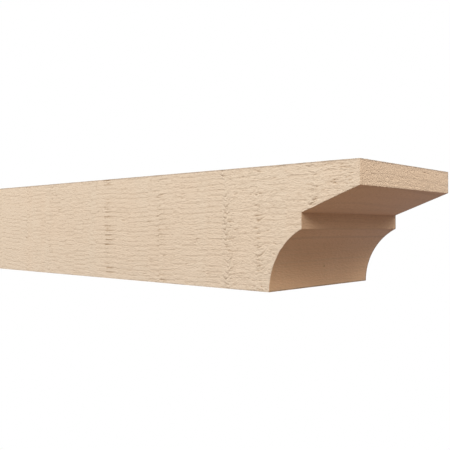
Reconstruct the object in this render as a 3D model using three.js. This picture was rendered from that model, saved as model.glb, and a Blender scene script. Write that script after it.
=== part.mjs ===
// Rafter tail: a short length of rough-sawn timber laid flat, its front end cut to a
// profile of lip, sloping soffit, fillet and cove. The timber is one piece.
// Millimetres, +Z up. X runs along the timber towards the shaped end and Y across it.
// The origin is on the underside, at the middle of the timber's length and width.
import * as THREE from "three";

// Driving dimensions: a full-size 4 by 6 inch timber, 2 feet long
const LENGTH = 609.6;
const WIDTH = 152.4;
const HEIGHT = 101.6;

// The profile, from the top of the front end down to the underside
const LIP_HEIGHT = 19.05; // upright front face
const SOFFIT_RUN = 50.8; // back from the lip to the fillet
const SOFFIT_DROP = 19.05; // how far the soffit falls on the way back
const FILLET_HEIGHT = 12.7; // upright band between soffit and cove
const COVE_DEPTH = 31.75; // back from the fillet to the cove's foot
const COVE_FLATS = 40; // flats along the cove

const TIMBER_COLOUR = 0xddc3a7;
const TIMBER_ROUGHNESS = 0.85;

// Places worked out from the sizes
const backX = -LENGTH / 2;
const lipX = LENGTH / 2;
const filletX = lipX - SOFFIT_RUN;
const footX = filletX - COVE_DEPTH;
const lipFootZ = HEIGHT - LIP_HEIGHT;
const filletTopZ = lipFootZ - SOFFIT_DROP;
const coveTopZ = filletTopZ - FILLET_HEIGHT;

// The cove is an arc that rises upright from the underside and reaches the fillet's foot,
// so its centre is level with the underside.
function coveArc() {
  const radius = (coveTopZ ** 2 + COVE_DEPTH ** 2) / (2 * COVE_DEPTH);
  return { radius, centreX: footX + radius, sweep: Math.asin(coveTopZ / radius) };
}

// The timber's outline seen from the side, X to the right and Z up.
function sideOutline() {
  const { radius, centreX, sweep } = coveArc();
  const outline = new THREE.Shape();
  outline.moveTo(backX, 0);
  outline.lineTo(footX, 0);
  outline.absarc(centreX, 0, radius, Math.PI, Math.PI - sweep, true);
  outline.lineTo(filletX, filletTopZ);
  outline.lineTo(lipX, lipFootZ);
  outline.lineTo(lipX, HEIGHT);
  outline.lineTo(backX, HEIGHT);
  outline.closePath();
  return outline;
}

// The outline pushed through the timber's width.
function timberGeometry() {
  return new THREE.ExtrudeGeometry(sideOutline(), {
    depth: WIDTH,
    bevelEnabled: false,
    curveSegments: COVE_FLATS / 2, // an arc gets two flats for each
  });
}

const timber = new THREE.Mesh(
  timberGeometry(),
  new THREE.MeshStandardMaterial({
    color: TIMBER_COLOUR,
    roughness: TIMBER_ROUGHNESS,
    metalness: 0,
  }),
);
timber.name = "rafter_tail";
timber.rotation.x = Math.PI / 2; // the drawn outline stands up, its depth along -Y
timber.position.y = WIDTH / 2;

const rafterTail = new THREE.Group();
rafterTail.name = "rafter_tail_assembly";
rafterTail.add(timber);

export default rafterTail;
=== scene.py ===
# %% [markdown]
# # A rafter tail in rough-sawn timber
# A rafter tail is the end of a roof timber that shows below the eaves. This one is a single length
# of softwood. Its four long faces come straight from the saw, and its front end is cut to a lip, a
# sloping soffit, a short fillet and a cove. The lesson starts from the plain solid and dresses it:
# one dense mesh of the same form, with saw marks and torn grain cut into it, and a finish for each
# kind of face.

# %% Load the plain solid
import math

import bpy
import numpy as np
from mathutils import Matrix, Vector


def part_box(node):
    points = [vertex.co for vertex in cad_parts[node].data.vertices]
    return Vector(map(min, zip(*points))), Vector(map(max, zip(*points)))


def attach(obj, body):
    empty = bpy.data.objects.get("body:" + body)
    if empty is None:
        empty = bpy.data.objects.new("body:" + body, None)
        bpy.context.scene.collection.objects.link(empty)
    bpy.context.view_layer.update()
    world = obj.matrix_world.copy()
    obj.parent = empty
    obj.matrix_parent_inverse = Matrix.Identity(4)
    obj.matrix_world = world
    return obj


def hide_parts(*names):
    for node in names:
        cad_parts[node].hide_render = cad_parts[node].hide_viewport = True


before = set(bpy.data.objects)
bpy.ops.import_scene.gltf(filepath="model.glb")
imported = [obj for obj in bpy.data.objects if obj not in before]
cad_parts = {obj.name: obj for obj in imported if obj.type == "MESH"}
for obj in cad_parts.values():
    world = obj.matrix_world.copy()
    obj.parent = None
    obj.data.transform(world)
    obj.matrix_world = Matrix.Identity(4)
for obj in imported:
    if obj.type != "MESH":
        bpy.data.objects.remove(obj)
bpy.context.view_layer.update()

MM = 0.001
TIMBER = "rafter_tail"
low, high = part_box(TIMBER)
print("timber", [round(size / MM, 1) for size in high - low], "mm")

# %% [markdown]
# ## The profile of the shaped end
# Seen from the side, the front end is a few straight cuts and one arc. Each is a simple share of
# the timber's height, which is how a carpenter would mark it out. Going up from the underside, every
# height meets the front end only once, so the whole profile can be written as one function that
# says how far forward the timber reaches at each height. The mesh below is built on it.

# %% Mark out the profile
HEIGHT = high.z - low.z
LIP_HEIGHT = HEIGHT * 3 / 16
SOFFIT_DROP = HEIGHT * 3 / 16
SOFFIT_RUN = HEIGHT / 2
FILLET_HEIGHT = HEIGHT / 8
COVE_DEPTH = HEIGHT * 5 / 16

lip_z = HEIGHT - LIP_HEIGHT
soffit_z = lip_z - SOFFIT_DROP
cove_top_z = soffit_z - FILLET_HEIGHT
fillet_x = high.x - SOFFIT_RUN
foot_x = fillet_x - COVE_DEPTH
cove_radius = (cove_top_z**2 + COVE_DEPTH**2) / (2 * COVE_DEPTH)


def front_reach(z):
    """How far forward the timber reaches at these heights."""
    in_cove = np.minimum(z, cove_top_z)
    cove = foot_x + cove_radius - np.sqrt(cove_radius**2 - in_cove**2)
    soffit = fillet_x + (z - soffit_z) / SOFFIT_DROP * SOFFIT_RUN
    return np.where(z < cove_top_z, cove, np.clip(soffit, fillet_x, high.x))


def front_facing(z):
    """The forward and upward parts of the front end's outward normal at these heights."""
    slope = math.hypot(SOFFIT_RUN, SOFFIT_DROP)
    up = np.where(z < cove_top_z, -z / cove_radius, 0.0)
    up = np.where((z > soffit_z) & (z < lip_z), -SOFFIT_RUN / slope, up)
    return np.sqrt(1 - up**2), up


solid = np.array([v.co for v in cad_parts[TIMBER].data.vertices])
front = solid[solid[:, 0] > foot_x + MM]
misfit = np.abs(front[:, 0] - front_reach(front[:, 2])).max()
print("profile is within", round(misfit / MM, 3), "mm of the solid")

# %% [markdown]
# ## The camera
# The timber is seen from just below its middle, turned so that its long side runs off to the left
# and the underside of the shaped end shows. A plain 50 mm lens gives this perspective. The camera's
# place is measured from the near top corner of the lip, which is easy to find in any view.

# %% Place the camera
scene = bpy.context.scene
LENS = 50
SENSOR = 36
BEYOND_LIP = 229.19 * MM
OUT_FROM_SIDE = 392.52 * MM
BELOW_TOP = 49.83 * MM
CAMERA_TURN = math.radians(42.481)
CAMERA_TILT = math.radians(0.258)

camera = bpy.data.objects.new("camera", bpy.data.cameras.new("camera"))
scene.collection.objects.link(camera)
camera.data.lens = LENS
camera.data.sensor_width = SENSOR
camera.location = (high.x + BEYOND_LIP, low.y - OUT_FROM_SIDE, high.z - BELOW_TOP)
looking = Vector((
    -math.sin(CAMERA_TURN) * math.cos(CAMERA_TILT),
    math.cos(CAMERA_TURN) * math.cos(CAMERA_TILT),
    math.sin(CAMERA_TILT),
))
camera.rotation_euler = looking.to_track_quat("-Z", "Y").to_euler()
scene.camera = camera
print("camera at", [round(value, 4) for value in camera.location])

# %% [markdown]
# ## The studio
# The light is soft. One large lamp hangs over the near side, a small low one stands to the left of the
# camera, and two large ones light the front end. Two more light the sides that the camera doesn't see.
# A white floor would throw too much light up under the soffit. So the floor shows white to the camera
# but gives the timber only a dim glow, warm on the near side and cooler on the far side. The Light Path
# node tells the two kinds of ray apart.

# %% Hang the lamps
LAMP_DISTANCE = 1.6
LAMP_AIM = Vector((high.x * 2 / 3, 0, HEIGHT / 2))
LAMPS = {
    # name: (degrees round from the near side towards the lip, degrees up, size, watts)
    "over_near_side": (21, 40, 1.15, 24.0),
    "left_of_camera": (-50, 4, 0.5, 10.4),
    "front": (105, 40, 1.15, 12.4),
    "front_right": (140, 40, 1.15, 6.5),
    "far_side": (200, 14, 0.5, 10.5),
    "back": (262, 14, 0.5, 7.5),
}


def hang_lamp(name, turn, rise, size, watts):
    light = bpy.data.lights.new(name, "AREA")
    light.shape = "DISK"
    light.size = size
    light.energy = watts
    lamp = bpy.data.objects.new(name, light)
    turn, rise = math.radians(turn), math.radians(rise)
    away = Vector((
        math.sin(turn) * math.cos(rise),
        -math.cos(turn) * math.cos(rise),
        math.sin(rise),
    ))
    lamp.location = LAMP_AIM + away * LAMP_DISTANCE
    lamp.rotation_euler = (-away).to_track_quat("-Z", "Y").to_euler()
    lamp.visible_camera = False
    scene.collection.objects.link(lamp)


for lamp_name, settings in LAMPS.items():
    hang_lamp(lamp_name, *settings)
print("lamps", ", ".join(LAMPS))

# %% Lay the floor
FLOOR_SIZE = 12.0
GLOW_NEAR = (0.325, 0.24, 0.178, 1)
GLOW_FAR = (0.325, 0.29, 0.325, 1)
GLOW_TURN = 0.15  # metres each side of the timber's middle over which one glow turns into the other
WHITE = (1, 1, 1, 1)
COLOUR_A, COLOUR_B, COLOUR_OUT = 6, 7, 2  # the Mix node's sockets when it mixes colours
scene.view_settings.view_transform = "Standard"


def white_to_camera(tree, shader_kind, other_colour, output):
    """Shows white to the camera, and the other colour to every other ray."""
    path = tree.nodes.new("ShaderNodeLightPath")
    mix = tree.nodes.new("ShaderNodeMixShader")
    tree.links.new(path.outputs["Is Camera Ray"], mix.inputs[0])
    for socket, colour in ((1, other_colour), (2, WHITE)):
        shader = tree.nodes.new(shader_kind)
        if isinstance(colour, bpy.types.NodeSocket):
            tree.links.new(colour, shader.inputs["Color"])
        else:
            shader.inputs["Color"].default_value = colour
        tree.links.new(shader.outputs[0], mix.inputs[socket])
    tree.links.new(mix.outputs[0], output.inputs["Surface"])


def glow_over_floor(tree):
    """One glow on the near side of the timber, turning into another on the far side."""
    place = tree.nodes.new("ShaderNodeTexCoord").outputs["Object"]
    split = tree.nodes.new("ShaderNodeSeparateXYZ")
    tree.links.new(place, split.inputs[0])
    turn = tree.nodes.new("ShaderNodeMapRange")
    turn.inputs["From Min"].default_value = -GLOW_TURN
    turn.inputs["From Max"].default_value = GLOW_TURN
    tree.links.new(split.outputs["Y"], turn.inputs["Value"])
    glow = tree.nodes.new("ShaderNodeMix")
    glow.data_type = "RGBA"
    tree.links.new(turn.outputs[0], glow.inputs["Factor"])
    glow.inputs[COLOUR_A].default_value = GLOW_NEAR
    glow.inputs[COLOUR_B].default_value = GLOW_FAR
    return glow.outputs[COLOUR_OUT]


floor_finish = bpy.data.materials.new("pale_floor")
floor_finish.use_nodes = True
floor_tree = floor_finish.node_tree
floor_tree.nodes.remove(floor_tree.nodes["Principled BSDF"])
white_to_camera(
    floor_tree,
    "ShaderNodeEmission",
    glow_over_floor(floor_tree),
    floor_tree.nodes["Material Output"],
)
floor_mesh = bpy.data.meshes.new("floor")
half = FLOOR_SIZE / 2
corners = [(-half, -half, 0), (half, -half, 0), (half, half, 0), (-half, half, 0)]
floor_mesh.from_pydata(corners, [], [(0, 1, 2, 3)])
floor_mesh.materials.append(floor_finish)
floor = bpy.data.objects.new("floor", floor_mesh)
scene.collection.objects.link(floor)
print("floor", FLOOR_SIZE, "m wide, white to the camera")

# %% Close the background
DARK = (0, 0, 0, 1)
backdrop = bpy.data.worlds.new("white_backdrop")
backdrop.use_nodes = True
backdrop.node_tree.nodes.clear()
white_to_camera(
    backdrop.node_tree,
    "ShaderNodeBackground",
    DARK,
    backdrop.node_tree.nodes.new("ShaderNodeOutputWorld"),
)
scene.world = backdrop
print("background", backdrop.name)

# %% [markdown]
# ## A lattice of points over the timber
# Torn grain and saw marks change the surface itself, so the mesh needs points every millimetre or
# two. A subdivided cube would waste them. Instead the points lie on a lattice of columns along the
# timber, slices across it and rows up it, and only the lattice's skin is kept. Behind the shaped end
# the columns stand upright; towards it they lean until the last one follows the profile. Narrow
# cells along the edges keep the arrises crisp.

# %% Space the columns, slices and rows
EDGE_CELL = 1.0 * MM
LEAN_FROM = foot_x - 8 * MM
COLUMNS_BEHIND = 140
COLUMNS_LEANING = 36
BACK_STRETCH = 0.5  # columns at the back end stand this much further apart than on average
SLICES = 76
ROWS = {"cove": 69, "fillet": 17, "soffit": 26, "lip": 28}

corner_heights = [0, cove_top_z, soffit_z, lip_z, HEIGHT]
spans = zip(corner_heights[:-1], corner_heights[1:], ROWS.values())
rows = np.concatenate([np.linspace(a, b, count + 1)[:-1] for a, b, count in spans] + [[HEIGHT]])
corner_rows = np.cumsum([0, *ROWS.values()])

inner_slices = np.linspace(low.y + EDGE_CELL, high.y - EDGE_CELL, SLICES - 1)
slices = np.concatenate([[low.y], inner_slices, [high.y]])

backwards = np.linspace(1, 0, COLUMNS_BEHIND)
backwards = backwards * (1 - BACK_STRETCH) + backwards**2 * BACK_STRETCH
upright = LEAN_FROM - backwards * (LEAN_FROM - low.x - EDGE_CELL)
upright = np.concatenate([[low.x], upright])
last_share = 1 - EDGE_CELL / (high.x - LEAN_FROM)
leaning = np.append(np.linspace(0, last_share, COLUMNS_LEANING), 1)[1:]
columns = np.vstack([
    np.repeat(upright[:, None], len(rows), axis=1),
    LEAN_FROM + leaning[:, None] * (front_reach(rows) - LEAN_FROM),
])
print(len(columns), "columns,", len(slices), "slices,", len(rows), "rows")

# %% Keep the lattice's skin
counts = (len(columns), len(slices), len(rows))
column, across, row = np.indices(counts)
ends = [(where == 0) | (where == count - 1) for where, count in zip((column, across, row), counts)]
skin = ends[0] | ends[1] | ends[2]
number = np.full(counts, -1)
number[skin] = np.arange(skin.sum())
column, across, row = column[skin], across[skin], row[skin]
points = np.column_stack([columns[column, row], slices[across], rows[row]])

patches = {
    "near_side": number[:, 0, :],
    "far_side": number[:, -1, :],
    "top": number[:, :, -1],
    "underside": number[:, :, 0],
    "front": number[-1, :, :],
    "back_cut": number[0, :, :],
}
FLIPPED = ("far_side", "underside", "back_cut")
print(len(points), "points on", len(patches), "patches")

# %% [markdown]
# ## Saw strokes and torn grain
# A frame saw bites in strokes. Each stroke starts with a jerk that tears the fibres, then runs
# cleaner, so the face is a row of upright bands, each with a ragged left edge that fades to the
# right. A noise texture alone can't give that order. So the strokes are laid out here in code, and
# every mark is a small function added to a height field: a slight step from band to band, a crumbly
# patch after the stroke, and many nicks, each a short groove with the fibre it lifted curled up
# below it. What the finish needs to know is kept too: where grain is torn, where it is rough, each
# band's own tone and shift of its saw lines, and how far every point is past the nearest bold stroke.
# A straight bold stroke bites dashes of painted shadow into the saw lines, and a crooked one makes them
# curl, with painted shadow along each curl.

# %% Helpers for height fields
STROKE_EDGE = 2.0 * MM
NICK_WIDTH = 0.6 * MM
NICK_ENTRY = 0.12  # share of a nick's length over which it reaches its full depth
NICK_FADE = 0.6  # power by which it dies away
LIFTED_OFF = 1.7  # nick widths from a nick down to the fibre that it lifted
LIFTED_SHARE = 0.5  # height of that fibre as a share of the nick's depth
# Nicks from this depth on get the full painted shadow of torn grain in the finish.
DEEP_NICK = 0.4 * MM  # nicks from this depth on show fully torn
KEPT_MARKS = ("torn", "rough", "tone", "since", "bite", "curl")


def eased(value):
    """A smooth step from 0 to 1."""
    value = np.clip(value, 0, 1)
    return value * value * (3 - 2 * value)


def lumps(draw, along, over, long_size, over_size):
    """Smooth random values from -1 to 1, in lumps of about these sizes."""
    a = (along - along.min()) / long_size
    b = (over - over.min()) / over_size
    knots = draw.uniform(-1, 1, (int(a.max()) + 2, int(b.max()) + 2))
    i, j = a.astype(int), b.astype(int)
    u, v = eased(a - i), eased(b - j)
    first = knots[i, j] * (1 - v) + knots[i, j + 1] * v
    second = knots[i + 1, j] * (1 - v) + knots[i + 1, j + 1] * v
    return first * (1 - u) + second * u


def cut_nick(marks, along, over, start, level, length, depth, tilt, bend=0.0, width=NICK_WIDTH):
    """A groove that starts sharply and dies away, with a lifted lip below it."""
    run = (along - start) / length
    inside = (run > 0) & (run < 1)
    dying = (1 - np.clip(run, 0, 1)) ** NICK_FADE
    strength = np.where(inside, np.minimum(run / NICK_ENTRY, 1) * dying, 0)
    path = level + (tilt + bend * run) * (along - start)
    off = (over - path) / width
    groove = np.exp(-(off**2)) * strength
    lifted = np.exp(-((off + LIFTED_OFF) ** 2)) * strength
    marks["height"] += depth * (LIFTED_SHARE * lifted - groove)
    marks["torn"] = np.maximum(marks["torn"], groove * min(1, depth / DEEP_NICK))


def blank_marks(shape):
    return {name: np.zeros(shape) for name in ("height", *KEPT_MARKS, "band")}


print("height field helpers are ready")

# %% Lay out the strokes
BOLD_STROKES = (
    # millimetres behind the lip, how hard the saw tore, how far on it stayed rough, crookedness
    (452, 0.55, 18, 0.3),
    (402, 0.6, 22, 0.25),
    (298, 0.8, 35, 0.03),
    (216, 0.6, 22, 0.12),
    (129, 1.0, 45, 0.4),
    (96, 0.9, 60, 0.25),
    (43, 0.9, 55, 0.35),
    (12, 0.7, 12, 0.3),
)
STROKE_GAP = (9 * MM, 22 * MM)
FAINT_HARDNESS = (0.1, 0.45)
FAINT_REACH = (8 * MM, 20 * MM)
FAINT_CROOK = 0.12


def stroke_places(draw, bold):
    """Strokes along the timber from its back end to the lip: the bold ones and faint ones between."""
    places = [(high.x - behind * MM, hard, far * MM, bent) for behind, hard, far, bent in bold]
    at = low.x
    while at < high.x:
        at += draw.uniform(*STROKE_GAP)
        if min(abs(at - place[0]) for place in places) > STROKE_GAP[0] / 2:
            hard = draw.uniform(*FAINT_HARDNESS)
            places.append((at, hard, draw.uniform(*FAINT_REACH), FAINT_CROOK))
    return sorted(places)


print(len(BOLD_STROKES), "bold strokes on the near side")

# %% Tear nicks along a stroke
NICK_GAP = (1.4 * MM, 3.8 * MM)
NICK_LENGTH = (4 * MM, 16 * MM)
LENGTH_SOFT, LENGTH_HARD = 0.6, 0.5  # hard strokes make longer nicks
LENGTH_STRAIGHT = 1.15  # crooked ones make shorter nicks
NICK_DEPTH = (0.2, 0.95)  # millimetres, for the hardest stroke
NICK_JITTER = 1.2 * MM
CHANCE_SOFT, CHANCE_HARD = 0.35, 0.6
STRAY_CHANCE = 0.5
STRAY_REACH = 0.6
STRAY_LENGTH = 0.55


def tear_nicks(draw, marks, along, over, stroke):
    """Nicks up the height of a stroke: some where it starts, and some strayed on past it."""
    place, hard, far, bent = stroke
    level = over.min()
    while level < over.max():
        level += draw.uniform(*NICK_GAP)
        tilt = draw.normal(0, bent)
        bend = draw.normal(0, bent)
        length = draw.uniform(*NICK_LENGTH) * (LENGTH_SOFT + LENGTH_HARD * hard) * (LENGTH_STRAIGHT - bent)
        depth = hard * draw.uniform(*NICK_DEPTH) * MM
        strays = draw.random() < STRAY_CHANCE
        start = place + (draw.exponential(far * STRAY_REACH) if strays else draw.normal(0, NICK_JITTER))
        if draw.random() < CHANCE_SOFT + CHANCE_HARD * hard:
            length *= STRAY_LENGTH if strays else 1
            cut_nick(marks, along, over, start, level, length, depth, tilt, bend)


print("nicks every", [round(gap / MM, 1) for gap in NICK_GAP], "mm up a stroke")

# %% Note where the bold strokes are
BOLD = 0.5  # strokes at least this hard leave dashes or curls
LONG_AGO = 1.0
DASH_REACH = 26 * MM
DASH_LOSS = 4  # how fast crookedness takes the dashes away
CURL_REACH = 9 * MM
CURL_GAIN = 3  # how fast crookedness brings the curls
LEAST_CURL = 0.1


def note_bold_stroke(marks, past, patchy, hard, bent):
    """Keeps how far each point is past its nearest bold stroke, and what that stroke does there."""
    nearest = np.abs(past) < np.abs(marks["since"])
    bite = hard * max(0, 1 - DASH_LOSS * bent) * (np.abs(past) < DASH_REACH)
    curl = hard * min(1, CURL_GAIN * bent) * np.clip(patchy, LEAST_CURL, 1) * (np.abs(past) < CURL_REACH)
    for kind, value in (("since", past), ("bite", bite), ("curl", curl)):
        marks[kind] = np.where(nearest, value, marks[kind])


print("dashes reach", round(DASH_REACH / MM), "mm and curls", round(CURL_REACH / MM), "mm past a stroke")

# %% Saw the four long faces
STROKE_LEAN = 0.05
STROKE_WOBBLE = 1.3 * MM
WOBBLE_SIZE = 9 * MM
PATCH_SIZE = 11 * MM
PATCH_MIDDLE, PATCH_SWING = 0.65, 0.5  # how unevenly a stroke tears up its height
BAND_STEP = 0.07 * MM
CRUMB = 0.32 * MM
CRUMB_SIZE = (3.2 * MM, 1.5 * MM)
CRUMB_CALM = 0.12  # share of the crumbs that stays where the saw ran cleanly
SWELL = 0.12 * MM
SWELL_SIZE = (85 * MM, 60 * MM)


def saw_long_face(draw, along, over, bold):
    marks = blank_marks(along.shape)
    marks["since"] += LONG_AGO
    level_now = np.zeros(along.shape)
    middle = over.mean()
    for stroke in stroke_places(draw, bold):
        place, hard, far, bent = stroke
        wobble = STROKE_WOBBLE * lumps(draw, over, over * 0, WOBBLE_SIZE, 1)
        past = along - place - draw.uniform(-STROKE_LEAN, STROKE_LEAN) * (over - middle) - wobble
        begun = eased(past / STROKE_EDGE + 0.5)
        level_now += begun * (draw.uniform(-BAND_STEP, BAND_STEP) - level_now)
        marks["tone"] += begun * (draw.uniform(-1, 1) - marks["tone"])
        marks["band"] = np.where(past > 0, draw.uniform(), marks["band"])
        patchy = PATCH_MIDDLE + PATCH_SWING * lumps(draw, over, over * 0, PATCH_SIZE, 1)
        fading = begun * np.exp(-np.maximum(past, 0) / far)
        marks["rough"] = np.maximum(marks["rough"], hard * patchy * fading)
        if hard >= BOLD:
            note_bold_stroke(marks, past, patchy, hard, bent)
        tear_nicks(draw, marks, along, over, stroke)
    crumbs = lumps(draw, along, over, *CRUMB_SIZE)
    swell = lumps(draw, along, over, *SWELL_SIZE)
    marks["height"] += level_now + CRUMB * crumbs * (CRUMB_CALM + marks["rough"]) + SWELL * swell
    return marks


OTHER_STROKES = {
    "far_side": (
        (470, 0.7, 25, 0.1),
        (341, 0.9, 35, 0.3),
        (262, 0.6, 20, 0.2),
        (173, 0.8, 30, 0.1),
        (71, 0.8, 30, 0.3),
    ),
    "top": (
        (520, 0.6, 20, 0.1),
        (433, 0.9, 35, 0.3),
        (318, 0.6, 20, 0.1),
        (240, 0.9, 40, 0.2),
        (150, 0.6, 25, 0.1),
        (60, 0.8, 30, 0.3),
    ),
    "underside": (
        (498, 0.6, 20, 0.1),
        (380, 0.8, 30, 0.2),
        (255, 0.6, 25, 0.1),
        (160, 0.8, 30, 0.2),
    ),
}
draw = np.random.default_rng(1)
face_marks = {}
for name, over_axis in (("near_side", 2), ("far_side", 2), ("top", 1), ("underside", 1)):
    place = points[patches[name]]
    strokes = OTHER_STROKES.get(name, BOLD_STROKES)
    face_marks[name] = saw_long_face(draw, place[..., 0], place[..., over_axis], strokes)
    print(name, "relief", round(np.ptp(face_marks[name]["height"]) / MM, 2), "mm")

# %% [markdown]
# ## The ends
# The lip's upright front and the square cut at the back are sawn across the fibres. The blade
# leaves short fuzzy streaks that run across the timber. The soffit, fillet and cove were cut with a
# shaping tool, so they are nearly smooth: only a faint ripple runs along them. The cove's colour is
# painted warmer towards its foot, as painted warm bounce light. The underside's relief only goes
# inwards, so the timber lies flat.

# %% Saw the ends and shape the profile
ENDS = ("front", "back_cut")
END_NICKS = {"front": 330, "back_cut": 420}
END_LENGTH = (4 * MM, 13 * MM)
END_DEPTH = (0.06, 0.34)  # millimetres
END_TILT = 0.12
END_WIDTH = 0.48 * MM
END_ROUGH = 0.35
END_ROUGH_SIZE = (30 * MM, 14 * MM)
END_FUZZ = 0.07 * MM
END_FUZZ_SIZE = (4 * MM, 1.2 * MM)
RIPPLE = 0.03 * MM
RIPPLE_SIZE = (60 * MM, 2.2 * MM)
FOOT_BOUNCE_PAINT = 6.0


def saw_end(draw, along, over, nicks):
    marks = blank_marks(along.shape)
    marks["rough"] += END_ROUGH + END_ROUGH * lumps(draw, along, over, *END_ROUGH_SIZE)
    for _ in range(nicks):
        start = draw.uniform(along.min(), along.max())
        level = draw.uniform(over.min(), over.max())
        length = draw.uniform(*END_LENGTH)
        depth = draw.uniform(*END_DEPTH) * MM
        tilt = draw.normal(0, END_TILT)
        cut_nick(marks, along, over, start, level, length, depth, tilt, width=END_WIDTH)
    marks["height"] += END_FUZZ * lumps(draw, along, over, *END_FUZZ_SIZE)
    return marks


for name in ENDS:
    place = points[patches[name]]
    face_marks[name] = saw_end(draw, place[..., 1], place[..., 2], END_NICKS[name])

place = points[patches["front"]]
shaped = rows < lip_z
ripple = RIPPLE * lumps(draw, place[..., 1], place[..., 2], *RIPPLE_SIZE)
for name, marks in face_marks["front"].items():
    marks[:, shaped] = ripple[:, shaped] if name == "height" else 0
up_cove = np.minimum(rows[shaped] / cove_top_z, 1)
# Painted warm bounce light: the cove's tone turns warmer towards its foot.
face_marks["front"]["tone"][:, shaped] = FOOT_BOUNCE_PAINT * (0.5 - up_cove)
face_marks["underside"]["height"] -= face_marks["underside"]["height"].max()
print("front rows left from the saw:", (~shaped).sum())

# %% [markdown]
# ## Arrises
# An arris is the edge where two faces meet. A sawn timber's arrises are crisp but never perfect:
# fibres break out along them. Each patch pulls its own border in a little, by an uneven amount, and
# where two patches share a border both pulls add up to a small ragged chamfer. The inner corner
# between the fillet and the soffit is left alone, because nothing can chip it. Some arrises are also
# coloured darker, partly as handling wear and partly as painted shade along the edge: those round the
# top, the far edge of the front end and the foot of the cove. Each point keeps how close it is to one
# of them.

# %% Ease the borders and add up the heights
ARRIS_EASE = 0.1 * MM
ARRIS_CHIP = 0.1 * MM
ARRIS_CALM = 0.12  # share of a face's relief that is left right at an arris
CHIP_SIZE = 4 * MM
CHIP_FROM = 0.35  # only the highest lumps become chips
DARK_ARRIS_WIDTH = 1.7 * MM
FACING = {
    "near_side": (0, -1, 0),
    "far_side": (0, 1, 0),
    "top": (0, 0, 1),
    "underside": (0, 0, -1),
    "back_cut": (-1, 0, 0),
}
forward, upward = front_facing(rows)
front_normal = np.stack([forward, 0 * forward, upward], axis=-1)

corner_row = (column == counts[0] - 1) & np.isin(row, corner_rows)
at_ends = sum(end[skin].astype(int) for end in ends)
border = (at_ends > 1) | corner_row
inner_corner = corner_row & (row == corner_rows[2]) & (at_ends < 2)
arris = (border & ~inner_corner).astype(float)

x, y, z = points.T
from_front = front_reach(z) - x
from_far_side = high.y - y
from_any_side = np.minimum(y - low.y, from_far_side)
from_any_end = np.minimum(x - low.x, from_front)
# Darker arrises, partly handling wear and partly painted shade along the edge: how close each point is to
# one.
to_dark_arris = np.minimum.reduce([
    np.maximum(HEIGHT - z, np.minimum(from_any_side, from_any_end)),
    np.maximum(from_far_side, from_front),
    np.maximum(z, from_front),
])
worn_and_shaded = np.clip(1 - to_dark_arris / DARK_ARRIS_WIDTH, 0, 1)

field = blank_marks(len(points))
moved = points.copy()
for name, grid in patches.items():
    marks = face_marks[name]
    place = points[grid]
    along = place[..., 1 if name in ENDS else 0]
    chips = lumps(draw, along, place[..., 1] + place[..., 2], CHIP_SIZE, CHIP_SIZE)
    ease = ARRIS_EASE + ARRIS_CHIP * np.maximum(chips - CHIP_FROM, 0)
    lift = marks["height"] * np.where(border[grid], ARRIS_CALM, 1) - ease * arris[grid]
    normal = front_normal[None] if name == "front" else np.array(FACING[name])
    moved[grid] += lift[..., None] * normal
    for kind in KEPT_MARKS:
        field[kind][grid] = np.where(border[grid], field[kind][grid], marks[kind])
print("largest move", round(np.linalg.norm(moved - points, axis=1).max() / MM, 2), "mm")

# %% [markdown]
# ## The mesh
# Every patch is a sheet of quads. The patches share their border points, so the timber is one closed
# skin with no stray faces. Shading is smooth across each patch and sharp along the arrises. Each patch
# also gets its own place on a flat sheet, like a cutting plan, as the UV map.

# %% Weave the quads
SHEET_GAP = 6 * MM
LONG_WAY = high.x - low.x
FACE_KINDS = ("sawn_face", "sawn_end", "shaped_cut")


def weave(grid, flip):
    """The four corners of each cell of a grid of numbers, turned outwards."""
    quads = np.stack([grid[:-1, :-1], grid[1:, :-1], grid[1:, 1:], grid[:-1, 1:]], axis=-1)
    return quads.reshape(-1, 4)[:, ::-1] if flip else quads.reshape(-1, 4)


def flat_place(name):
    """A patch unrolled: its lengths along its two directions, in metres."""
    place = points[patches[name]]
    steps = [np.linalg.norm(np.diff(place, axis=way), axis=-1) for way in (0, 1)]
    u = np.pad(np.cumsum(steps[0], axis=0), ((1, 0), (0, 0)))
    v = np.pad(np.cumsum(steps[1], axis=1), ((0, 0), (1, 0)))
    if name in ("near_side", "far_side"):
        u, v = place[..., 0] - low.x, place[..., 2]
    return np.stack([u, v], axis=-1)


quads, corners_uv, kinds, bands = [], [], [], []
sheet_at = {"long": 0.0, "end": 0.0}
for name, grid in patches.items():
    flat = flat_place(name)
    column_kind = "end" if name in ENDS else "long"
    origin = (LONG_WAY + SHEET_GAP if column_kind == "end" else 0, sheet_at[column_kind])
    sheet_at[column_kind] += flat[..., 1].max() + SHEET_GAP
    cells = weave(np.arange(grid.size).reshape(grid.shape), name in FLIPPED)
    quads.append(grid.ravel()[cells])
    corners_uv.append((flat + origin).reshape(-1, 2)[cells])
    usual = "sawn_end" if name in ENDS else "sawn_face"
    kind = np.full((grid.shape[0] - 1, grid.shape[1] - 1), FACE_KINDS.index(usual))
    if name == "front":
        kind[:, : corner_rows[3]] = FACE_KINDS.index("shaped_cut")
    kinds.append(kind.ravel())
    bands.append(face_marks[name]["band"][:-1, :-1].ravel())

quads = np.concatenate(quads)
print(len(quads), "quads")

# %% Make the mesh
mesh = bpy.data.meshes.new("rafter_tail_timber")
mesh.from_pydata(moved.tolist(), [], quads.tolist())
mesh.polygons.foreach_set("material_index", np.concatenate(kinds))
mesh.polygons.foreach_set("use_smooth", np.ones(len(quads), bool))

sheet = mesh.uv_layers.new(name="OFBake")
sheet_size = LONG_WAY + 2 * SHEET_GAP + (high.y - low.y)
sheet.uv.foreach_set("vector", (np.concatenate(corners_uv) / sheet_size).ravel())

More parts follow.
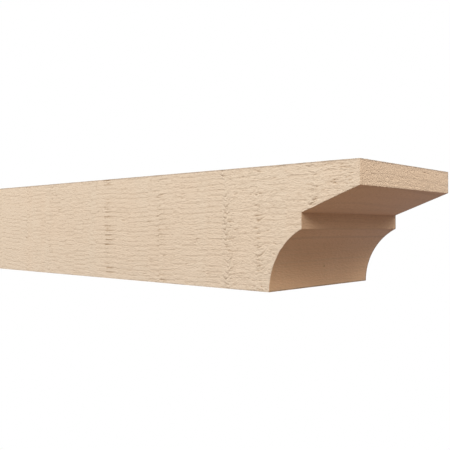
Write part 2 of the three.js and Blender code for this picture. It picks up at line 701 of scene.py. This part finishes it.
pairs = np.empty(len(mesh.edges) * 2, int)
mesh.edges.foreach_get("vertices", pairs)
pairs = pairs.reshape(-1, 2)
mesh.edges.foreach_set("use_edge_sharp", border[pairs].all(axis=1))

for kind in KEPT_MARKS:
    mesh.attributes.new(kind, "FLOAT", "POINT").data.foreach_set("value", field[kind])
mesh.attributes.new("band", "FLOAT", "FACE").data.foreach_set("value", np.concatenate(bands))
mesh.attributes.new("worn_and_shaded", "FLOAT", "POINT").data.foreach_set("value", worn_and_shaded)
mesh.update()

timber = bpy.data.objects.new("rafter_tail_timber", mesh)
scene.collection.objects.link(timber)
print(len(quads) * 2, "triangles")

# %% [markdown]
# ## Building blocks for the finishes
# All three finishes are the same wood, so the effects that they share are node groups: the growth
# rings, the saw lines, the fibres, the torn grain, the tone of each band and the wear along the
# arrises. A group has named inputs and outputs, like a function, and each finish places it with its
# own values.

# %% Helpers for nodes
def add_node(tree, kind, inputs=None, **settings):
    """A new node with its settings made, and its inputs set or linked by name or number."""
    made = tree.nodes.new(kind)
    for name, value in settings.items():
        setattr(made, name, value)
    for name, value in (inputs or {}).items():
        if isinstance(value, bpy.types.NodeSocket):
            tree.links.new(value, made.inputs[name])
        else:
            made.inputs[name].default_value = value
    return made


def calculate(tree, operation, first, second=0.0, third=0.0):
    """The result of one step of arithmetic."""
    return add_node(
        tree, "ShaderNodeMath", {0: first, 1: second, 2: third}, operation=operation
    ).outputs[0]


def with_vectors(tree, operation, first, second):
    """The results of one step of arithmetic with vectors."""
    return add_node(tree, "ShaderNodeVectorMath", {0: first, 1: second}, operation=operation).outputs


def noise(tree, place, detail, scale=1.0):
    """Smooth random values around a half."""
    sockets = {"Vector": place, "Scale": scale, "Detail": detail}
    return add_node(tree, "ShaderNodeTexNoise", sockets).outputs["Fac"]


def remap(tree, value, start, end, low_result=0.0, high_result=1.0):
    """A value between start and end, eased to a value between two results."""
    sockets = {
        "Value": value,
        "From Min": start,
        "From Max": end,
        "To Min": low_result,
        "To Max": high_result,
    }
    return add_node(
        tree, "ShaderNodeMapRange", sockets, interpolation_type="SMOOTHSTEP"
    ).outputs[0]


def layer(tree, under, over, mask):
    """One colour laid over another where the mask is high."""
    mix = add_node(
        tree,
        "ShaderNodeMix",
        {0: mask, COLOUR_A: under, COLOUR_B: over},
        data_type="RGBA",
    )
    return mix.outputs[COLOUR_OUT]


def painted(tree, name):
    """A value that was stored on the mesh."""
    return add_node(tree, "ShaderNodeAttribute", attribute_name=name).outputs["Fac"]


def new_group(name, inputs, outputs):
    """An empty node group with named sockets. Inputs hold their kind and default value."""
    group = bpy.data.node_groups.new(name, "ShaderNodeTree")
    for socket, (kind, value) in inputs.items():
        made = group.interface.new_socket(socket, in_out="INPUT", socket_type="NodeSocket" + kind)
        if value is not None:
            made.default_value = value
    for socket in outputs:
        group.interface.new_socket(socket, in_out="OUTPUT", socket_type="NodeSocketFloat")
    entry = group.nodes.new("NodeGroupInput").outputs
    leave = group.nodes.new("NodeGroupOutput").inputs
    return group, entry, leave


def place_group(tree, group, inputs):
    """A group placed in a finish with its own values."""
    return add_node(tree, "ShaderNodeGroup", inputs, node_tree=group).outputs


print("node helpers are ready")

# %% [markdown]
# ## Growth rings
# A tree grows a pale, soft layer and a thin dark one each year. In this timber the layers lie almost
# flat, so they show as level lines along the sides and across the ends, and as broad sweeping
# figure on the top. One number gives all of that: the height of each point, bent a little across the
# timber and wandering a little along it. Noise in one dimension on that number gives lines of uneven
# width.

# %% Growth rings as a group
RING_BOW = 0.42  # metres of rise for each square metre out from the middle
RING_DRIFT = 7.0  # lumps in a metre
RING_EDGE = (0.5, 0.72)


def growth_rings():
    group, entry, leave = new_group(
        "growth_rings",
        {
            "Place": ("Vector", None),
            "Spacing": ("Float", 3.4 * MM),
            "Wander": ("Float", 8 * MM),
        },
        ("Line",),
    )
    axes = add_node(group, "ShaderNodeSeparateXYZ", {0: entry["Place"]}).outputs
    bow = calculate(group, "MULTIPLY", calculate(group, "MULTIPLY", axes["Y"], axes["Y"]), RING_BOW)
    drift = calculate(group, "SUBTRACT", noise(group, entry["Place"], 1.0, RING_DRIFT), 0.5)
    level = calculate(group, "MULTIPLY_ADD", drift, entry["Wander"], axes["Z"])
    level = calculate(group, "ADD", level, bow)
    ring = calculate(group, "DIVIDE", level, entry["Spacing"])
    layers = add_node(
        group,
        "ShaderNodeTexNoise",
        {"W": ring, "Scale": 1.0, "Detail": 2.0, "Roughness": 0.55},
        noise_dimensions="1D",
    ).outputs["Fac"]
    group.links.new(remap(group, layers, *RING_EDGE), leave["Line"])
    return group


RINGS = growth_rings()
print(RINGS.name, "group made")

# %% [markdown]
# ## Saw lines
# Each tooth of the saw draws a fine line, and the lines lie side by side like the ribs of corduroy,
# a few millimetres apart. A sine of the height gives lines at an even spacing, a slow noise makes them
# waver, and a stretched noise lets them fade in and out. Each band from the saw has a number of its
# own on its quads, and that number shifts the lines, so they break off at every stroke. Their grooves
# also get painted shade in the colour. Just past a straight bold stroke some lines turn into dashes of
# painted shadow, and close to a crooked one they curl up, with painted shadow along the curl.

# %% Saw lines as a group
# Lumps in a metre along, across and up the timber
WAVER_LUMPS = (14, 55, 55)
LEVEL_LUMPS = (0, 190, 190)
FADE_LUMPS = (20, 160, 160)
FADE_EDGE = (0.28, 0.58)
BAND_APART = 7.0
LATE = 8 * MM  # how much later some lines meet a bold stroke than others
CURL_WIDTH = 4 * MM
CURL_RISE = 2.6 * MM
CURL_DARK = 0.5
CURL_CREST = (0.7, 1.0)
DASH_START = (0.0, 0.8 * MM)
DASH_END = (5 * MM, 20 * MM)
DASH_CREST = (0.5, 1.0)
DASHED_LEVELS = (0.42, 0.56)


def saw_lines():
    group, entry, leave = new_group(
        "saw_lines",
        {
            "Place": ("Vector", None),
            "Across": ("Vector", (0, 1, 1)),
            "Spacing": ("Float", 4.7 * MM),
            "Waver": ("Float", 0.4 * MM),
        },
        ("Groove", "Dash", "Curl"),
    )
    place = entry["Place"]
    band = painted(group, "band")

    own = noise(group, with_vectors(group, "MULTIPLY", place, LEVEL_LUMPS)["Vector"], 0.0)
    late = calculate(group, "MULTIPLY_ADD", own, LATE, -LATE / 2)
    since = calculate(group, "ADD", painted(group, "since"), late)
    close = remap(group, calculate(group, "ABSOLUTE", since), 0.0, CURL_WIDTH, 1.0, 0.0)
    curled = calculate(group, "MULTIPLY", close, painted(group, "curl"))

    level = with_vectors(group, "DOT_PRODUCT", place, entry["Across"])["Value"]
    waver = noise(group, with_vectors(group, "MULTIPLY", place, WAVER_LUMPS)["Vector"], 2.0)
    level = calculate(group, "MULTIPLY_ADD", waver, entry["Waver"], level)
    level = calculate(group, "MULTIPLY_ADD", curled, CURL_RISE, level)
    turns = calculate(group, "ADD", calculate(group, "DIVIDE", level, entry["Spacing"]), band)
    wave = calculate(group, "SINE", calculate(group, "MULTIPLY", turns, math.tau))

    spread = calculate(group, "MULTIPLY", band, BAND_APART)
    apart = add_node(group, "ShaderNodeCombineXYZ", {"X": spread}).outputs[0]
    stretched = with_vectors(group, "MULTIPLY", place, FADE_LUMPS)["Vector"]
    stretched = with_vectors(group, "ADD", stretched, apart)["Vector"]
    fade = remap(group, noise(group, stretched, 1.0), *FADE_EDGE)
    calm = calculate(group, "SUBTRACT", 1.0, painted(group, "rough"))
    fade = calculate(group, "MULTIPLY", fade, calm)
    # The groove mask also paints shade into the grooves' colour in each finish.
    groove = calculate(group, "MULTIPLY", remap(group, wave, 0.0, 1.0), fade)

    # Dash: painted shadow along the torn saw lines just past a straight bold stroke.
    dash = calculate(group, "MULTIPLY", remap(group, since, *DASH_START), painted(group, "bite"))
    dash = calculate(group, "MULTIPLY", dash, remap(group, since, *DASH_END, 1.0, 0.0))
    dash = calculate(group, "MULTIPLY", dash, remap(group, wave, *DASH_CREST))
    # Painted shadow along the curls, added to the dashes.
    curl_line = calculate(group, "MULTIPLY", curled, remap(group, wave, *CURL_CREST))
    dash = calculate(group, "MULTIPLY_ADD", curl_line, CURL_DARK, dash)
    dash = calculate(group, "MULTIPLY", dash, remap(group, own, *DASHED_LEVELS))

    group.links.new(groove, leave["Groove"])
    group.links.new(dash, leave["Dash"])
    group.links.new(calculate(group, "MULTIPLY", curled, wave), leave["Curl"])
    return group


LINES = saw_lines()
print(LINES.name, "group made")

# %% [markdown]
# ## Fibres, and painted shadow in torn grain
# Wood is a bundle of long thin fibres, and sawing leaves them as a fuzz of short streaks. Noise
# squeezed into small lumps gives the fuzz. The lumps are drawn out along the fibres on the long faces,
# and across the timber on the ends and the shaped cuts. Where the mesh says that grain is torn, the
# fibres stand apart, and the shadow that they hold is painted into the colour; there the streaks break
# the painted shadow into hairlines, and painted shade shows in the pits between them.

# %% Fibres and torn grain as groups
HAIR_EDGE = 0.14
TORN_EDGE = (0.2, 0.7)
TORN_SOLID = 0.5  # share of a torn patch's darkness that the hairs don't break up
PIT_DARK = 0.45


def saw_fibres():
    group, entry, leave = new_group(
        "saw_fibres",
        {
            "Place": ("Vector", None),
            "Lump": ("Vector", (1, 1, 1)),
            "Edge": ("Float", 0.55),
        },
        ("Streak", "Hair"),
    )
    lumpy = with_vectors(group, "DIVIDE", entry["Place"], entry["Lump"])["Vector"]
    streak = noise(group, lumpy, 1.5)
    group.links.new(streak, leave["Streak"])
    past_edge = calculate(group, "SUBTRACT", streak, entry["Edge"])
    group.links.new(remap(group, past_edge, 0.0, HAIR_EDGE), leave["Hair"])
    return group


# Paints the shadow held by torn grain: Dark is painted shadow in nicks, dashes, curls and pits.
def torn_grain_shadow():
    group, entry, leave = new_group(
        "torn_grain_shadow",
        {"Hair": ("Float", 0.0), "Pit": ("Float", 0.0), "Dash": ("Float", 0.0)},
        ("Dark", "Crumble"),
    )
    torn = remap(group, painted(group, "torn"), *TORN_EDGE)
    rough = painted(group, "rough")
    broken = calculate(group, "MULTIPLY_ADD", entry["Hair"], 1 - TORN_SOLID, TORN_SOLID)
    nicks = calculate(group, "MULTIPLY_ADD", torn, broken, entry["Dash"])
    pits = calculate(group, "MULTIPLY", rough, entry["Pit"])
    group.links.new(calculate(group, "MULTIPLY_ADD", pits, PIT_DARK, nicks), leave["Dark"])
    group.links.new(rough, leave["Crumble"])
    return group


FIBRES = saw_fibres()
TORN = torn_grain_shadow()
print(FIBRES.name, "and", TORN.name, "groups made")

# %% [markdown]
# ## Tone, wear and painted shade
# No board is one colour. Each band from the saw reflects a little differently, and wide patches drift
# between straw and pink. On the cove the tone is also pushed warmer towards its foot, as painted warm
# bounce light. Along some arrises runs a thin, uneven, darker line, partly handling wear and partly
# painted shade along the edge. Both are masks, so each finish can choose its own colours for them.

# %% Tone, and wear with painted edge shade, as groups
TONE_SHARE = 0.1
WARMTH_EDGE = (0.25, 0.75)
DARK_ARRIS_PATCHES = (0.35, 0.65)
LEAST_DARK_ARRIS = 0.6
DARK_ARRIS_EDGE = (0.1, 0.6)


def band_tone():
    group, entry, leave = new_group(
        "band_tone", {"Place": ("Vector", None), "Lumps": ("Float", 14.0)}, ("Warmth",)
    )
    drift = noise(group, entry["Place"], 2.0, entry["Lumps"])
    # On the shaped cuts the stored tone also holds the painted warm bounce light at the cove's foot.
    band = calculate(group, "MULTIPLY_ADD", painted(group, "tone"), TONE_SHARE, drift)
    group.links.new(remap(group, band, *WARMTH_EDGE), leave["Warmth"])
    return group


def arris_wear_and_shade():
    group, entry, leave = new_group(
        "arris_wear_and_shade", {"Place": ("Vector", None), "Lumps": ("Float", 220.0)}, ("WearAndShade",)
    )
    # The darker line along the arrises is partly handling wear and partly painted shade.
    patchy = noise(group, entry["Place"], 2.0, entry["Lumps"])
    amount = remap(group, patchy, *DARK_ARRIS_PATCHES, LEAST_DARK_ARRIS, 1.0)
    edge = remap(group, painted(group, "worn_and_shaded"), *DARK_ARRIS_EDGE)
    group.links.new(calculate(group, "MULTIPLY", edge, amount), leave["WearAndShade"])
    return group


TONE = band_tone()
WEAR_AND_SHADE = arris_wear_and_shade()
print(TONE.name, "and", WEAR_AND_SHADE.name, "groups made")

# %% [markdown]
# ## The three finishes
# The long faces have dulled a little since they were sawn. The ends and the shaped cuts are fresher and
# warmer, and the shaped cuts are smoother, so their rings show as faint level lines. One function builds
# all three: the colours are laid over each other mask by mask, and the same masks drive the
# roughness and the finest bumps. Last comes one small pin knot, low on the cove.

# %% Choose the colours and shares
FINISHES = {
    "sawn_face": {
        "straw": (0.755, 0.633, 0.492, 1),
        "pink": (0.755, 0.617, 0.472, 1),
        "ring": (0.60, 0.465, 0.335, 1),
        # Next: the dark colour of the painted shadow in torn grain, dashes, curls and pits, which is also
        # the pin knot's own colour.
        "shadow_and_knot": (0.40, 0.26, 0.15, 1),
        # Next: the darker arris colour, partly handling wear and partly painted shade along the edge.
        "worn_and_shaded": (0.44, 0.34, 0.25, 1),
        "across": (0, 1, 1),
        "fuzz_lump": (3.0 * MM, 0.75 * MM, 0.75 * MM),
        "pit_lump": (2.4 * MM, 1.15 * MM, 1.15 * MM),
        "ring_share": 0.1,
        "groove_shade_share": 0.4,
        "fuzz_share": 0.58,
        "line_height": 0.2,
        "fuzz_height": (0.66, 1.0),
        "pit_height": 0.35,
        "curl_height": 0.22,
        "rough": (0.78, 0.95),
    },
    "sawn_end": {
        "straw": (0.825, 0.625, 0.438, 1),
        "pink": (0.81, 0.605, 0.416, 1),
        "ring": (0.60, 0.445, 0.31, 1),
        "shadow_and_knot": (0.38, 0.235, 0.135, 1),
        "worn_and_shaded": (0.42, 0.31, 0.22, 1),
        "across": (0, 0, 1),
        "fuzz_lump": (1.0 * MM, 2.0 * MM, 0.55 * MM),
        "pit_lump": (1.2 * MM, 2.2 * MM, 0.9 * MM),
        "ring_share": 0.36,
        "groove_shade_share": 0.12,
        "fuzz_share": 0.5,
        "line_height": 0.03,
        "fuzz_height": (0.62, 0.6),
        "pit_height": 0.25,
        "curl_height": 0.0,
        "rough": (0.8, 0.95),
    },
    "shaped_cut": {
        "straw": (0.788, 0.533, 0.33, 1),
        "pink": (0.745, 0.48, 0.28, 1),
        "ring": (0.62, 0.42, 0.26, 1),
        "shadow_and_knot": (0.32, 0.185, 0.11, 1),
        "worn_and_shaded": (0.36, 0.24, 0.145, 1),
        "across": (0, 0, 1),
        "fuzz_lump": (1.2 * MM, 4 * MM, 1.1 * MM),
        "pit_lump": (1.2 * MM, 4 * MM, 1.1 * MM),
        "ring_share": 0.4,
        "groove_shade_share": 0.14,
        "fuzz_share": 0.38,
        "line_height": 0.01,
        "fuzz_height": (0.34, 0.0),
        "pit_height": 0.0,
        "curl_height": 0.0,
        "rough": (0.62, 0.8),
    },
}
print("colours chosen for", ", ".join(FINISHES))

# %% Make the finishes
PIT_EDGE = 0.57
KNOT_ACROSS, KNOT_UP = -1.5 * MM, 18 * MM
PIN_KNOT = (float(front_reach(KNOT_UP)), KNOT_ACROSS, KNOT_UP)
KNOT_EDGE = (0.5 * MM, 1.6 * MM)
KNOT_DARK = 0.5
STREAK_RANGE = (0.3, 0.7)
SHINE = 0.25
FUZZ_LOST = 0.6  # share of the fuzz that goes where grain crumbles


def wood_finish(name, look):
    finish = bpy.data.materials.new(name)
    finish.use_nodes = True
    tree = finish.node_tree
    shader = tree.nodes["Principled BSDF"]
    place = add_node(tree, "ShaderNodeTexCoord").outputs["Object"]
    rings = place_group(tree, RINGS, {"Place": place})
    lines = place_group(tree, LINES, {"Place": place, "Across": look["across"]})
    fuzz = place_group(tree, FIBRES, {"Place": place, "Lump": look["fuzz_lump"]})
    pits = place_group(tree, FIBRES, {"Place": place, "Lump": look["pit_lump"], "Edge": PIT_EDGE})
    torn = place_group(tree, TORN, {"Hair": fuzz["Hair"], "Pit": pits["Hair"], "Dash": lines["Dash"]})
    tone = place_group(tree, TONE, {"Place": place})
    wear_and_shade = place_group(tree, WEAR_AND_SHADE, {"Place": place})

    colour = layer(tree, look["straw"], look["pink"], tone["Warmth"])
    # Rings and fibre hairs are the wood's own colour; the saw lines' share is painted shade in the
    # grooves.
    for mask, share in (
        (rings["Line"], look["ring_share"]),
        (lines["Groove"], look["groove_shade_share"]),
        (fuzz["Hair"], look["fuzz_share"]),
    ):
        colour = layer(tree, colour, look["ring"], calculate(tree, "MULTIPLY", mask, share))
    # Painted shadow in torn grain, dashes, curls and pits.
    colour = layer(tree, colour, look["shadow_and_knot"], torn["Dark"])
    # Darker arrises: partly handling wear, partly painted shade along the edge.
    colour = layer(tree, colour, look["worn_and_shaded"], wear_and_shade["WearAndShade"])
    # The pin knot takes the same dark colour as its own colour.
    away = with_vectors(tree, "DISTANCE", place, PIN_KNOT)["Value"]
    colour = layer(tree, colour, look["shadow_and_knot"], remap(tree, away, *KNOT_EDGE, KNOT_DARK, 0.0))
    tree.links.new(colour, shader.inputs["Base Color"])

    smooth, coarse = look["rough"]
    roughness = remap(tree, fuzz["Streak"], *STREAK_RANGE, smooth, coarse)
    tree.links.new(roughness, shader.inputs["Roughness"])
    shader.inputs["Specular IOR Level"].default_value = SHINE

    calm, torn_up = look["fuzz_height"]
    fuzz_height = calculate(tree, "MULTIPLY_ADD", torn["Crumble"], -FUZZ_LOST * calm, calm)
    height = calculate(tree, "MULTIPLY", fuzz["Streak"], fuzz_height)
    crumbs = calculate(tree, "MULTIPLY", torn["Crumble"], torn_up)
    height = calculate(tree, "MULTIPLY_ADD", pits["Streak"], crumbs, height)
    height = calculate(tree, "MULTIPLY_ADD", lines["Groove"], -look["line_height"], height)
    height = calculate(tree, "MULTIPLY_ADD", torn["Dark"], -look["pit_height"], height)
    height = calculate(tree, "MULTIPLY_ADD", lines["Curl"], -look["curl_height"], height)
    bump = add_node(tree, "ShaderNodeBump", {"Height": height, "Distance": MM})
    tree.links.new(bump.outputs["Normal"], shader.inputs["Normal"])
    return finish


for name in FACE_KINDS:
    timber.data.materials.append(wood_finish(name, FINISHES[name]))
print("finishes", ", ".join(FACE_KINDS))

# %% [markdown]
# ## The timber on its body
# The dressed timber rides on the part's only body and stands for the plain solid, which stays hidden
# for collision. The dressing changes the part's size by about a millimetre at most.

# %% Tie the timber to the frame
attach(timber, "root")
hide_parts(TIMBER)
